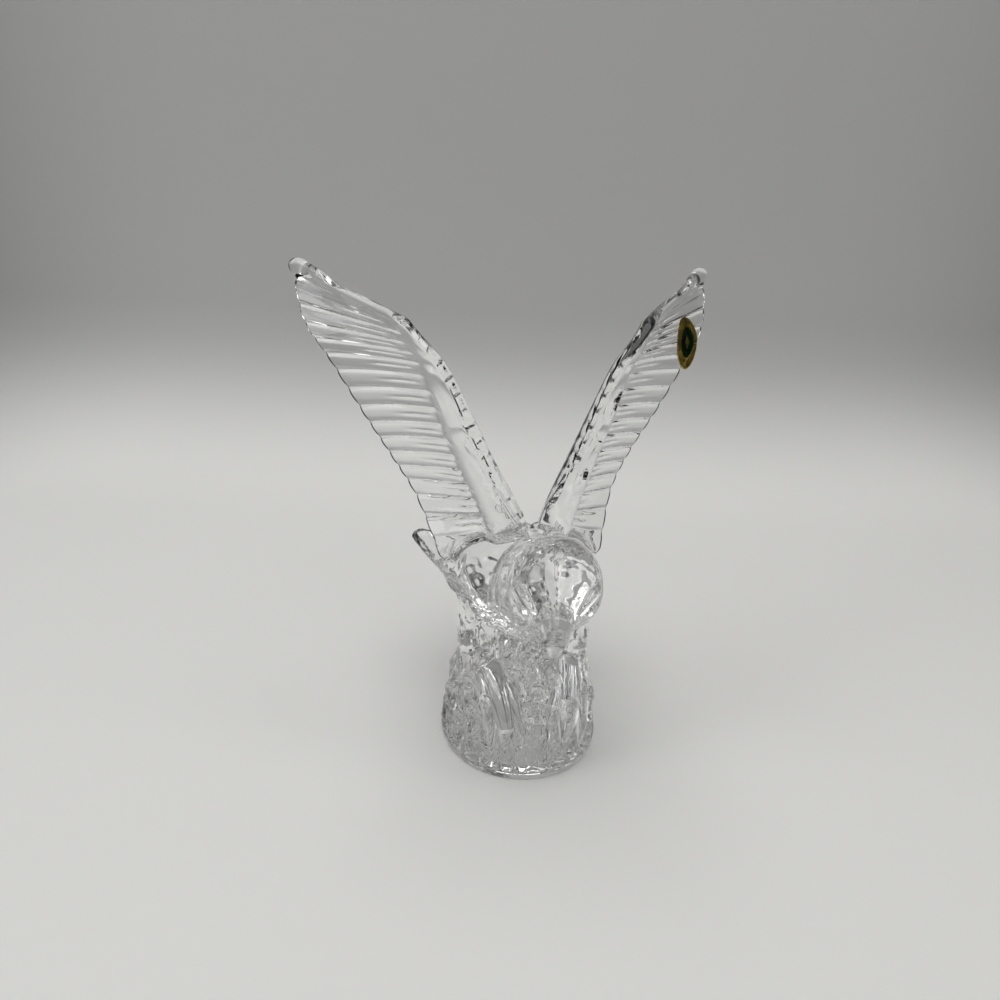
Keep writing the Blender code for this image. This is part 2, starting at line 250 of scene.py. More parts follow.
class Blade:
    # u runs from the innermost feather to the outermost, v from the leading edge to the feather tips
    def __init__(self, sizes, side=1):
        # side is -1 for the eagle's right and 1 for its left
        self.sizes = sizes
        self.side = side
        self.leading = [(side * x, y, z) for x, y, z in sizes["leadingRail"]]
        self.tips = [(side * x, y, z) for x, y, z in sizes["tipRail"]]
        self.camber = side * sizes["camber"]

    def flatPlace(self, u, v):
        leading = along(self.leading, u)
        return leading + (along(self.tips, u) - leading) * v[..., None]

    def normal(self, u, v):
        spanwise = self.flatPlace(u + railStep, v) - self.flatPlace(u - railStep, v)
        chordwise = self.flatPlace(u, v + railStep) - self.flatPlace(u, v - railStep)
        return direction(np.cross(spanwise, chordwise))

    def featherPart(self, u):
        # how far across its own feather each point lies, from 0 to 1
        return np.clip(u, 0, 1 - 1e-9) * self.sizes["feathers"] % 1

    def fromSide(self, u):
        return np.minimum(u, 1 - u) * self.sizes["feathers"]

    def carving(self, u, v, face):
        # the cuts between feathers and each feather's crown, which start where the arm ends
        s, c = self.sizes, cutSizes
        inner = face * self.side > 0
        late, run, share = (c["innerDelay"], c["innerRun"], c["innerShare"]) if inner else (0, c["run"], 1)
        part = self.featherPart(u)
        nearest = np.round(np.clip(u, 0, 1) * s["feathers"])
        jitter = c["startJitter"] * (1 + waver(nearest, c["startWave"]))
        beyond = v - late - along(s["featherStart"], u)[..., 0] - jitter
        across = np.clip(np.minimum(part, 1 - part) / c["halfWidth"], 0, 1)
        valley = np.where(self.fromSide(u) < 0.5, 0, (1 - across) ** c["sharpness"])
        valley *= 1 - c["unevenness"] * (0.5 + 0.5 * waver(nearest, c["depthWave"]))
        quill = np.clip(1 - np.abs(part - 0.5) / c["quillWidth"], 0, 1)
        quill *= 1 - smoothRise((v - c["quillEnd"]) / c["quillFade"] + 1)
        quill *= smoothRise((beyond - c["quillStart"]) / c["quillRise"])
        crown = s["vaneCrown"] * (1 - (2 * part - 1) ** 2)
        carved = (crown - (s["cutDepth"] * valley + c["quillDepth"] * quill) * share) * smoothRise(beyond / run)
        if s["barbs"]:
            near = np.clip(1 - self.fromSide(u) / c["barbReach"], 0, 1)
            carved -= c["barbDepth"] * near * (0.5 - 0.5 * np.cos(v * s["barbs"] * math.tau))
        if not inner:
            for *oval, depth in s["hollows"]:
                carved -= depth * np.clip(1 - ovalShare(u, v, oval) ** 2, 0, 1) ** c["hollowPower"]
            for *oval, depth in s["outlines"]:
                carved -= depth * np.exp(-(((ovalShare(u, v, oval) - 1) / c["outlineWidth"]) ** 2))
        return carved

    def thickness(self, u, v):
        s, c = self.sizes, cutSizes
        start, arm = along(s["featherStart"], u)[..., 0], along(s["arm"], u)[..., 0]
        muscle = arm * arch(np.clip(v / (s["armReach"] * start), 0, 1))
        vane = s["rootThickness"] + (s["tipThickness"] - s["rootThickness"]) * v
        vane = vane * halfRound(v / c["leadingRound"])
        last = np.clip((1 - u) * s["feathers"] / c["bandFeathers"], 0, 1)
        band = s["band"] * (1 - c["bandTaper"] * v) * arch(last) * halfRound(v / c["bandStart"])
        power = c["blendPower"]
        thick = (muscle**power + vane**power + band**power) ** (1 / power)
        thick = thick * halfRound((c["trailingStart"] - v) / c["trailingRound"])
        return np.maximum(thick * halfRound(self.fromSide(u) / c["sideRound"]), c["leastEdge"])

    def place(self, u, v, face, carved=True):
        # a point on one face, 1 or -1; uncarved it has no cuts and no scalloped edge
        point = self.flatPlace(u, v)
        half = self.thickness(u, v) / 2
        if carved:
            reach = self.sizes["scallop"] * (1 - (2 * self.featherPart(u) - 1) ** 2) * v**3
            point = point + direction(along(self.tips, u) - along(self.leading, u)) * reach[..., None]
            half = np.maximum(half + self.carving(u, v, face), cutSizes["leastEdge"] / 2)
        lift = self.camber * 4 * v * (1 - v) + face * half
        return point + self.normal(u, v) * lift[..., None]

    def featherSteps(self):
        inCut = np.linspace(0, cutSizes["halfWidth"], cutSizes["sectionsInCut"])
        onVane = 0.5 + np.array(cutSizes["quillSections"]) * cutSizes["quillWidth"]
        return np.concatenate([inCut, onVane, 1 - inCut[:0:-1]])

    def object(self, name):
        count, side = self.sizes["feathers"], np.array(cutSizes["sideSections"])
        between = 1 + np.add.outer(np.arange(count - 2), self.featherSteps()).ravel()
        u = np.concatenate([side[:-1], between, count - side[::-1]]) / count
        v = np.linspace(0, 1, self.sizes["chordPoints"]) ** cutSizes["chordCrowding"]
        u, v = np.meshgrid(u, v, indexing="ij")
        front, back = self.place(u, v, 1), self.place(u, v, -1)
        return ringObject(name, np.concatenate([front, back[:, ::-1]], axis=1))


# Body, head and legs

bodySizes = {
    # rump to neck: x, y, z of the middle, half width, half height, and lean back in degrees
    "sections": [(0, 43, 70, 14, 1.2, -10), (0, 33, 71.5, 26, 7, -8), (0, 20, 71.5, 32.5, 14, -3),
                 (0, 6, 73, 31.5, 20, 4), (0, -8, 76.5, 28, 21.5, 12), (0, -20, 80.5, 25, 21.5, 20),
                 (-1, -32, 87, 21, 19.5, 26), (-3, -43, 94, 17.8, 17.5, 28), (-4.5, -53, 100.5, 15.6, 15.3, 24),
                 (-6, -62, 105, 12.5, 12.5, 18)],
    "sides": 150,
    "rings": 116,
    # ground flats: a point, the outward direction
    "flats": [((29.0, 6, 66), (1, -0.35, -0.3)), ((24, -20, 70), (0.75, -0.55, -0.5)),
              ((30, 24, 68), (1, 0.45, -0.25)), ((20.3, -6.5, 88.2), (0.58, -0.2, 0.79))],
    "flatReach": 26.0,  # how far from its spot a flat may press
}
headSizes = {
    "middle": (-6, -65, 106),
    "turn": -12.0,
    "drop": 14.0,
    # neck to beak tip: ahead, above, half width, half height, and lean forward in degrees
    "sections": [(-15, -3, 9, 9.5, 0), (-11, -1, 12.6, 12.8, 0), (-4, 0, 15, 15.2, 0), (3, 0, 15, 15, 0),
                 (7.5, -0.8, 13.6, 13, 4), (11, -1.8, 10.4, 10.4, 8), (13.4, -2.2, 7.4, 7.8, 12),
                 (15.6, -2.4, 5.4, 6.2, 18), (17.8, -3.2, 4.6, 5.4, 32), (19.7, -4.8, 3.7, 4.3, 52),
                 (20.7, -7, 2.6, 3.1, 72), (20.6, -9.3, 1.5, 1.9, 88), (19.9, -11.3, 0.6, 0.8, 102)],
    "sides": 64,
    "rings": 84,
    "eye": (10.2, 9.2, -0.4),
    "eyeRadius": 2.6,
    "brow": [(2, 12.6, 4, 1.4), (6, 11.8, 4.9, 2.2), (10, 9.8, 4.0, 2.2), (14, 6.2, 0.8, 1.4)],
    "browSections": 30,
    "browSides": 20,
}
legSizes = {
    "thigh": [(17, 3, 74, 8), (18.5, 2, 63, 9.8), (18.7, 0, 52, 9.8), (18.8, -3, 43, 9), (18.5, -6, 36, 7.5),
              (18, -8, 30, 5)],
    "thighDepth": 1.5,
    "thighSections": 58,
    "thighSides": 64,
    "toeSpread": [-6.5, 0, 6.5],
    "toeSize": [0.8, 1.3, 0.8],
    # share of the sideways spread, y, z and radius
    "toe": [(0, -8, 38, 4.6), (0.3, -18, 38, 4.6), (0.6, -27, 34, 3.9), (0.9, -32.5, 25, 2.8), (1.0, -32.5, 15, 0.9)],
    "toeInward": 6.0,
    "toeRootSpread": 0.35,
    "toeSections": 34,
    "toeSides": 24,
}
wingEndSizes = {  # the upper edge of each wing swells into a rounded end: x, y, z and radius
    "path": [(72, 45.5, 184.2, 1.2), (79, 53.2, 186.9, 2.4), (84.6, 59.6, 188.7, 3.3), (88, 63.4, 189.8, 3.7),
             (90.1, 65.6, 190.6, 2.9), (91.0, 66.7, 191.0, 1.0)],
    "sections": 30,
    "sides": 28,
}
plumageSizes = {  # scalloped cells on the breast and belly, round the thighs and on the back of the head
    "body": {"Cell Width": 3.8, "Cell Length": 5.5, "Cut Depth": 1.2, "Rear Limit": 26.0, "Turned Share": 0.0,
             "Seed": 3.1, "Facing": (0, -0.1, -1), "Along": (0, 1, 0)},
    "thigh": {"Cell Width": 5.2, "Cell Length": 9.5, "Cut Depth": 2.8, "Rear Limit": 40.0, "Turned Share": 0.5,
              "Seed": 1.7, "Facing": (0, 1, 0), "Along": (0, 0, 1)},
    "head": {"Cell Width": 2.6, "Cell Length": 3.0, "Cut Depth": 0.5, "Rear Limit": 26.0, "Turned Share": 0.0,
             "Seed": 5.9, "Facing": (0.2, 0.3, -1), "Along": (0, 1, 0)},
}
plumagePlaces = {
    "facing": (0.15, 0.6),  # cosines between which the cells deepen
    "rearFade": 8,  # the rump is too thin for them
}


def ball(name, middle, radius):
    bm = bmesh.new()
    bmesh.ops.create_icosphere(bm, subdivisions=4, radius=radius * unit)
    bmesh.ops.translate(bm, verts=bm.verts, vec=Vector(middle) * unit)
    mesh = bpy.data.meshes.new(name)
    bm.to_mesh(mesh)
    bm.free()
    return addObject(name, mesh)


def grind(body, side):
    # presses what stands out past each flat back onto it
    points = readPoints(body.data)
    for spot, outward in bodySizes["flats"]:
        spot = np.array(spot) * (side, 1, 1) * unit
        outward = direction(np.array(outward, float) * (side, 1, 1))
        proud = np.maximum((points - spot) @ outward, 0)
        proud[np.linalg.norm(points - spot, axis=1) > bodySizes["flatReach"] * unit] = 0
        points -= proud[:, None] * outward
    writePoints(body.data, points)


def plumed(form, name):
    return throughTree(form, plumageCuts, {**plumageSizes[name], "Material": formMaterial(name)})


def leaningRings(s, across, upward, leanWay, placeOf):
    rings = []
    for *spot, halfWidth, halfHeight, lean in along(s["sections"], np.linspace(0, 1, s["rings"])):
        lean = math.radians(lean)
        sectionUp = np.array(upward) * math.cos(lean) + np.array(leanWay) * math.sin(lean)
        rings.append(ovalRing(placeOf(*spot), across, sectionUp, halfWidth, halfHeight, s["sides"]))
    return rings


def makeBody():
    rings = leaningRings(bodySizes, (1, 0, 0), (0, 0, 1), (0, 1, 0), lambda *spot: spot)
    body = ringObject("bodyForm", rings)
    for side in (-1, 1):
        grind(body, side)
    return plumed(body, "body")


def headAxes():
    turn, drop = math.radians(headSizes["turn"]), math.radians(headSizes["drop"])
    across = np.array((math.cos(turn), math.sin(turn), 0))
    level = np.array((math.sin(turn), -math.cos(turn), 0))
    ahead = level * math.cos(drop) - np.array((0, 0, math.sin(drop)))
    return across, ahead, np.cross(ahead, across)


def headPlace(aheadBy, acrossBy, upBy):
    across, ahead, upward = headAxes()
    return np.array(headSizes["middle"]) + ahead * aheadBy + across * acrossBy + upward * upBy


def makeHead():
    s = headSizes
    across, ahead, upward = headAxes()
    rings = leaningRings(s, across, upward, ahead, lambda aheadBy, upBy: headPlace(aheadBy, 0, upBy))
    forms = [plumed(ringObject("headForm", rings), "head")]
    for side in (-1, 1):
        brow = [(*headPlace(a, side * x, z), radius) for a, x, z, radius in s["brow"]]
        forms.append(tapered("browForm", brow, s["browSections"], s["browSides"], (0, 0, 1)))
        aheadBy, acrossBy, upBy = s["eye"]
        forms.append(ball("eyeForm", headPlace(aheadBy, side * acrossBy, upBy), s["eyeRadius"]))
    return forms


def makeLegs(side):
    s = legSizes
    thigh = tapered("thighForm", [(side * x, y, z, r) for x, y, z, r in s["thigh"]], s["thighSections"],
                    s["thighSides"], depth=s["thighDepth"])
    forms = [plumed(thigh, "thigh")]
    for spread, size in zip(s["toeSpread"], s["toeSize"]):
        path = []
        for share, y, z, radius in s["toe"]:
            sideways = spread * (s["toeRootSpread"] + (1 - s["toeRootSpread"]) * share)
            path.append((side * (s["thigh"][-1][0] - s["toeInward"] * share) + sideways, y, z, radius * size))
        forms.append(tapered("toeForm", path, s["toeSections"], s["toeSides"]))
    return forms


# Rock: plain courses whose radius wavers, then a Geometry Nodes tree cuts the strokes and pits

rockSizes = {
    # x, y, z and mean radius, from below
    "courses": [(0, 0, 0, 33.6), (0, 0, 2.6, 34), (0, 0, 3.2, 33.4), (0, 0, 10, 33.2), (0, 0, 18, 32.2),
                (0, 0, 26, 31), (0, 0, 32, 29.4), (0, 0, 36, 27), (0, 0, 39, 21), (0, 0, 40.2, 11), (0, 0, 40.5, 1)],
    "sides": 320,
    "rows": [(0, 0.2, 6), (0.2, 0.8, 66), (0.8, 1, 14)],  # shares of the way up, and rows between them
    "depth": 1.04,
    "waves": [(5, 2.4, 1.3, 0.012), (9, 2.1, -0.8, 0.016), (14, 0.4, 0.5, 0.014), (28, 1.7, 0.2, 0.016)],
    "plainFoot": 3.0,
}
boulderSizes = {
    "courses": [(0, -9, 33, 15), (0.5, -11, 42, 13.5), (1, -12.5, 51, 12), (1.5, -14.5, 58, 9), (1.5, -16.2, 61.3, 5),
                (1.5, -16.5, 62, 0.6)],
    "sides": 110,
    "rows": [(0, 1, 46)],
    "depth": 1.5,
    "waves": [(4, 0.6, 1.1, 0.05), (7, 2.6, -0.7, 0.04), (11, 0.3, 0.9, 0.03)],
    "plainFoot": 0.0,
}
waveHeight = 24.0
rockCutSizes = {
    "Stroke Width": 5.6,
    "Stroke Length": 30.0,
    "Fine Width": 2.7,
    "Fine Length": 17.0,
    "Fine Share": 0.4,
    "Pit Size": 6.6,
    "Cut Depth": 3.1,
    "Back Share": 0.2,
    "Least Slant": math.radians(-24),
    "Most Slant": math.radians(20),
    "Foot Height": 3.0,
    "Seed": 7.3,
}
rockPlaces = {  # where the strokes and pits change
    "girth": 33,  # mean radius of the unrolled side
    "wanderScale": 26.0,  # of the noise that tilts the strokes
    "wanderRange": (0.35, 0.65),
    "fineTurn": 1.6,  # slant of the fine strokes against the coarse ones
    "fineMost": 1.25,  # their share low down, against Fine Share
    "fineFades": (12, 26),  # heights between which they get weaker
    "boulder": (40, 46),  # heights above which there are round pits
    "rightSide": (15, 27),  # and how far to the right
    "behind": (-6, 8),  # the far side is cut less deep
    "footRise": 1.6,
}
bowlReach = 0.72  # of a bowl from the middle of its cell, in cells


def makeLump(name, s):
    turn = np.arange(s["sides"]) / s["sides"] * math.tau
    rings = []
    shares = np.unique(np.concatenate([np.linspace(low, high, count + 1) for low, high, count in s["rows"]]))
    for x, y, height, radius in along(s["courses"], shares):
        relief = np.zeros(s["sides"])
        for count, start, drift, share in s["waves"]:
            relief += share * np.sin(count * turn + start + drift * height / waveHeight * math.tau)
        relief *= smoothRise(height - s["plainFoot"])
        reach = radius * (1 + relief)
        ring = [x + reach * np.cos(turn), y + reach * np.sin(turn) * s["depth"], np.full(s["sides"], height)]
        rings.append(np.stack(ring, axis=-1))
    return ringObject(name, rings)


def joined(base, others):
    for other in others:
        union = base.modifiers.new("joined", "BOOLEAN")
        union.operation = "UNION"
        union.object = other
        union.solver = "MANIFOLD"
        union.material_mode = "TRANSFER"
    settled(base)
    for other in others:
        bpy.data.objects.remove(other)
    return base


def settled(made):
    # the evaluated shape becomes the object's own plain mesh
    bpy.context.view_layer.update()
    evaluated = made.evaluated_get(bpy.context.evaluated_depsgraph_get())
    mesh = bpy.data.meshes.new_from_object(evaluated)
    made.modifiers.clear()
    made.data = mesh
    return made


socketKinds = {int: "NodeSocketInt", float: "NodeSocketFloat", tuple: "NodeSocketVector"}


def socketTree(name, kind, inputs, outputs):
    # each input is given by its first value or by its kind of socket
    tree = bpy.data.node_groups.new(name, kind)
    for label, value in inputs.items():
        socketKind = value if isinstance(value, str) else socketKinds[type(value)]
        socket = tree.interface.new_socket(name=label, in_out="INPUT", socket_type=socketKind)
        if socketKind != value:
            socket.default_value = value
    for label, socketKind in outputs.items():
        tree.interface.new_socket(name=label, in_out="OUTPUT", socket_type=socketKind)
    return tree, newNode(tree, "NodeGroupInput").outputs


def geometryTree(name, sizes):
    inputs = {"Geometry": "NodeSocketGeometry", **sizes, "Material": "NodeSocketMaterial"}
    return socketTree(name, "GeometryNodeTree", inputs, {"Geometry": "NodeSocketGeometry"})


def newNode(tree, kind, values=None, **settings):
    node = tree.nodes.new(kind)
    for name, value in settings.items():
        setattr(node, name, value)
    for key, value in (values or {}).items():
        if isinstance(value, bpy.types.NodeSocket):
            tree.links.new(value, node.inputs[key])
        else:
            node.inputs[key].default_value = value
    return node


def outputOf(tree, kind, values=None, **settings):
    return newNode(tree, kind, values, **settings).outputs[0]


def mathNode(tree, operation, a, b):
    return outputOf(tree, "ShaderNodeMath", {0: a, 1: b}, operation=operation)


def times(tree, a, b):
    return mathNode(tree, "MULTIPLY", a, b)


def vectorNode(tree, operation, *values):
    node = newNode(tree, "ShaderNodeVectorMath", dict(enumerate(values)), operation=operation)
    return node.outputs["Value" if operation in ("LENGTH", "DOT_PRODUCT") else 0]


def combined(tree, x, y, z):
    return outputOf(tree, "ShaderNodeCombineXYZ", {0: x, 1: y, 2: z})


def separated(tree, vector):
    return newNode(tree, "ShaderNodeSeparateXYZ", {0: vector}).outputs


def ranged(tree, value, low, high, fromValue=0.0, toValue=1.0, kind="LINEAR"):
    values = {0: value, 1: low, 2: high, 3: fromValue, 4: toValue}
    return outputOf(tree, "ShaderNodeMapRange", values, interpolation_type=kind)


def rise(tree, value, low, high):
    # from 0 below the low value to 1 above the high one
    return ranged(tree, value, low, high, kind="SMOOTHSTEP")


def blended(tree, share, a, b):
    return outputOf(tree, "ShaderNodeMix", {0: share, 2: a, 3: b}, data_type="FLOAT")


def blendedColour(tree, share, a, b):
    return newNode(tree, "ShaderNodeMix", {0: share, 6: a, 7: b}, data_type="RGBA").outputs[2]


def bowls(tree, vector, size, seed, dimensions):
    # one shallow bowl in each Voronoi cell, with sharp ridges between them
    moved = vectorNode(tree, "ADD", vectorNode(tree, "DIVIDE", vector, size), seed)
    distance = newNode(tree, "ShaderNodeTexVoronoi", {"Vector": moved, "Scale": 1.0},
                       voronoi_dimensions=dimensions).outputs["Distance"]
    fallen = mathNode(tree, "POWER", mathNode(tree, "DIVIDE", distance, bowlReach), 2.0)
    return mathNode(tree, "MAXIMUM", mathNode(tree, "SUBTRACT", 1.0, fallen), 0.0)


def endTree(tree, geometry, material):
    real = outputOf(tree, "GeometryNodeRealizeInstances", {"Geometry": geometry})
    finish = outputOf(tree, "GeometryNodeSetMaterial", {"Geometry": real, "Material": material})
    newNode(tree, "NodeGroupOutput", {"Geometry": finish})


def pressIn(tree, start, depth):
    # moves the surface inward by the depth, and ends the tree
    normal = outputOf(tree, "GeometryNodeInputNormal")
    inward = {0: normal, "Scale": times(tree, depth, -1.0)}
    offset = outputOf(tree, "ShaderNodeVectorMath", inward, operation="SCALE")
    moved = outputOf(tree, "GeometryNodeSetPosition", {"Geometry": start["Geometry"], "Offset": offset})
    endTree(tree, moved, start["Material"])


def rockCutTree():
    p = rockPlaces
    tree, start = geometryTree("rockCuts", rockCutSizes)
    lengths = ("Stroke Width", "Stroke Length", "Fine Width", "Fine Length", "Pit Size", "Cut Depth", "Foot Height")
    size = {name: times(tree, start[name], unit) for name in lengths}
    seed = combined(tree, *[start["Seed"]] * 3)
    position = outputOf(tree, "GeometryNodeInputPosition")
    x, y, z = separated(tree, position)

    def riseAt(value, name):
        low, high = p[name]
        return rise(tree, value, low * unit, high * unit)

    # the side unrolled: distance round the rock from its front, and height
    turn = mathNode(tree, "ARCTAN2", x, times(tree, y, -1.0))
    unrolled = combined(tree, times(tree, turn, p["girth"] * unit), z, 0.0)
    # the slant wanders, so that no two strokes are parallel
    wander = outputOf(tree, "ShaderNodeTexNoise", {"Vector": position, "Scale": p["wanderScale"], "Detail": 0.0})
    tilt = ranged(tree, wander, *p["wanderRange"], start["Least Slant"], start["Most Slant"])

    def strokes(name, angle):
        turned = outputOf(tree, "ShaderNodeVectorRotate", {"Vector": unrolled, "Angle": angle},
                          rotation_type="Z_AXIS")
        wide, long = size[name + " Width"], size[name + " Length"]
        return bowls(tree, turned, combined(tree, wide, long, wide), seed, "2D")

    coarse = strokes("Stroke", tilt)
    # finer strokes lie over them, turned so that the two sets cross in places
    fine = strokes("Fine", times(tree, tilt, p["fineTurn"]))
    fineShare = mathNode(tree, "SUBTRACT", p["fineMost"], riseAt(z, "fineFades"))
    cut = blended(tree, times(tree, start["Fine Share"], fineShare), coarse, fine)
    pits = bowls(tree, position, combined(tree, *[size["Pit Size"]] * 3), seed, "3D")
    pitted = mathNode(tree, "MAXIMUM", riseAt(z, "boulder"), riseAt(times(tree, x, -1.0), "rightSide"))
    cut = blended(tree, pitted, cut, pits)
    footTop = mathNode(tree, "ADD", size["Foot Height"], p["footRise"] * unit)
    cut = times(tree, cut, rise(tree, z, size["Foot Height"], footTop))
    share = blended(tree, riseAt(y, "behind"), 1.0, start["Back Share"])
    pressIn(tree, start, times(tree, times(tree, cut, size["Cut Depth"]), share))
    return tree


def plumageTree():
    # scalloped cells on what faces one way, longer along another
    tree, start = geometryTree("plumageCuts", plumageSizes["body"])
    wide, long, deep, limit = (times(tree, start[name], unit)
                               for name in ("Cell Width", "Cell Length", "Cut Depth", "Rear Limit"))
    position = outputOf(tree, "GeometryNodeInputPosition")
    stretch = vectorNode(tree, "MULTIPLY_ADD", start["Along"], mathNode(tree, "SUBTRACT", long, wide), wide)
    cells = bowls(tree, position, stretch, combined(tree, *[start["Seed"]] * 3), "3D")
    way = vectorNode(tree, "NORMALIZE", start["Facing"])
    facing = vectorNode(tree, "DOT_PRODUCT", outputOf(tree, "GeometryNodeInputNormal"), way)
    share = mathNode(tree, "MAXIMUM", rise(tree, facing, *plumagePlaces["facing"]), start["Turned Share"])
    depth = times(tree, times(tree, cells, share), deep)
    fadeFrom = mathNode(tree, "SUBTRACT", limit, plumagePlaces["rearFade"] * unit)
    rear = rise(tree, separated(tree, position)[1], fadeFrom, limit)
    pressIn(tree, start, times(tree, depth, mathNode(tree, "SUBTRACT", 1.0, rear)))
    return tree


plumageCuts = plumageTree()


def throughTree(made, tree, values):
    # sets the tree's inputs by their identifiers, then makes the result plain
    modifier = made.modifiers.new(tree.name, "NODES")
    modifier.node_group = tree
    for item in tree.interface.items_tree:
        if item.in_out == "INPUT" and item.name in values:
            modifier[item.identifier] = values[item.name]
    return settled(made)


def makeRock(material):
    rock = makeLump("rockForm", rockSizes)
    joined(rock, [makeLump("boulderForm", boulderSizes)])
    return throughTree(rock, rockCutTree(), {**rockCutSizes, "Material": material})


# One block: the forms are joined, and the creases between them are fire polished

seamSizes = {  # how far from a crease the polish reaches, and how many passes it takes
    "body wing": (6.5, 26),
    "body head": (6.0, 30),
    "body tail": (3.5, 14),
    "brow head": (2.0, 8),
    "tip wing": (3.0, 12),
}
plainSeam = (1.3, 5)
seamStrength = 0.6  # of one pass


def formMaterial(name):
    return bpy.data.materials.get("form." + name) or bpy.data.materials.new("form." + name)


def searchTree(spots):
    tree = KDTree(len(spots))
    for i, spot in enumerate(spots):
        tree.insert(spot, i)
    tree.balance()
    return tree


def nearBox(points, spots, reach):
    # numbers of the points in the box round the spots, widened by the reach
    low, high = spots.min(axis=0) - reach, spots.max(axis=0) + reach
    return np.nonzero(((points > low) & (points < high)).all(axis=1))[0]


def polishSeams(made):
    mesh = made.data
    names = [m.name.split(".")[1] if m else "" for m in mesh.materials]
    bm = bmesh.new()
    bm.from_mesh(mesh)
    seams = {}
    for edge in bm.edges:
        if len(edge.link_faces) == 2:
            a, b = (names[f.material_index] for f in edge.link_faces)
            if a != b:
                seams.setdefault(" ".join(sorted((a, b))), set()).update(v.index for v in edge.verts)
    bm.free()
    points = readPoints(mesh)
    edges = np.empty(len(mesh.edges) * 2, int)
    mesh.edges.foreach_get("vertices", edges)
    edges = edges.reshape(-1, 2)
    both = np.concatenate([edges, edges[:, ::-1]])
    degree = np.bincount(both[:, 0], minlength=len(points))
    for pair, found in seams.items():
        reach, passes = seamSizes.get(pair, plainSeam)
        spots = points[list(found)]
        tree = searchTree(spots)
        weight = np.zeros(len(points))
        for i in nearBox(points, spots, reach * unit):
            weight[i] = 1 - tree.find(points[i])[2] / (reach * unit)
        weight = smoothRise(weight)[:, None] * seamStrength
        for _ in range(passes):
            mean = np.stack([np.bincount(both[:, 0], points[both[:, 1], k], len(points)) for k in range(3)], axis=-1)
            points += weight * (mean / degree[:, None] - points)
    writePoints(mesh, points)


creaseSizes = {
    "width": 1.7,  # from the middle of a crease to its shoulder
    "depth": 1.0,
    "steps": 60,
    "fade": 8,  # steps over which it deepens from each end
    "reach": 6,  # how far round a path the points are looked through
    "farthest": 5,  # how far a path may lie off the surface
    # round the neck, and along the lower edge of the flank
    "paths": [[(9, -26, 104), (15, -37, 104.5), (19.8, -42.4, 99.8), (17.6, -44, 93), (18.5, -43.3, 87)],
              [(28.5, 14, 63), (28.2, 4.8, 65), (25, -8, 69.5), (22.1, -19.7, 73), (17.1, -34.8, 76)]],
}


def cutCreases(made):
    # V cuts along paths over the surface, on both sides of the bird
    s, mesh = creaseSizes, made.data
    points = readPoints(mesh)
    normals = readVectors(mesh.vertex_normals, "vector")
    for side in (-1, 1):
        for path in s["paths"]:
            route = along(np.array(path) * (side, 1, 1), np.linspace(0, 1, s["steps"])) * unit
            tree = searchTree(route)
            for i in nearBox(points, route, s["reach"] * unit):
                _, at, gap = tree.find(points[i])
                away = np.abs((points[i] - route[at]) @ normals[i])
                beside = math.sqrt(max(gap * gap - away * away, 0)) / unit
                ends = min(at, len(route) - 1 - at) / s["fade"]
                if beside < s["width"] and away < s["farthest"] * unit:
                    deep = s["depth"] * (1 - beside / s["width"]) * min(ends, 1)
                    points[i] -= normals[i] * deep * unit
    writePoints(mesh, points)
    mesh.update()


def keepLargest(made):
    # drops the small closed bubbles that a union leaves where forms only just meet
    bm = bmesh.new()
    bm.from_mesh(made.data)
    left, islands = set(bm.verts), []
    while left:
        edge, island = [left.pop()], []
        while edge:
            spot = edge.pop()
            island.append(spot)
            for link in spot.link_edges:
                other = link.other_vert(spot)
                if other in left:
                    left.remove(other)
                    edge.append(other)
        islands.append(island)
    islands.sort(key=len)
    bmesh.ops.delete(bm, geom=[spot for island in islands[:-1] for spot in island], context="VERTS")
    bm.to_mesh(made.data)
    bm.free()


def makeEagle(crystal):
    forms = [(makeBody(), "body")]
    forms += [(form, "head" if i == 0 else "brow") for i, form in enumerate(makeHead())]
    forms.append((Blade(tailSizes).object("tailForm"), "tail"))
    for side in (-1, 1):
        forms.append((Blade(wingSizes, side).object("wingForm"), "wing"))
        wingEnd = [(side * x, y, z, radius) for x, y, z, radius in wingEndSizes["path"]]
        forms.append((tapered("wingEndForm", wingEnd, wingEndSizes["sections"], wingEndSizes["sides"]), "tip"))
        legs = makeLegs(side)
        forms += [(legs[0], "thigh")] + [(toe, "toe") for toe in legs[1:]]
    for form, name in forms:
        form.data.materials.clear()
        form.data.materials.append(formMaterial(name))
    print("forms made:", len(forms))
    eagle = makeRock(formMaterial("rock"))
    joined(eagle, [form for form, _ in forms])
    print("joined:", len(eagle.data.polygons), "faces")
    keepLargest(eagle)
    polishSeams(eagle)
    cutCreases(eagle)
    mesh = eagle.data
    writePoints(mesh, np.clip(readPoints(mesh), np.array(solidLow), np.array(solidHigh)))
    mesh.materials.clear()
    mesh.materials.append(crystal)
    mesh.polygons.foreach_set("material_index", [0] * len(mesh.polygons))
    mesh.shade_smooth()
    mesh.set_sharp_from_angle(angle=math.radians(crystalFinish["sharpAngle"]))
    mesh.calc_loop_triangles()
    print("eagle:", len(mesh.loop_triangles), "triangles")
    for material in [m for m in bpy.data.materials if m.name.startswith("form.")]:
        bpy.data.materials.remove(material)
    eagle.name = "cut_crystal_eagle"
    return eagle


# Finishes

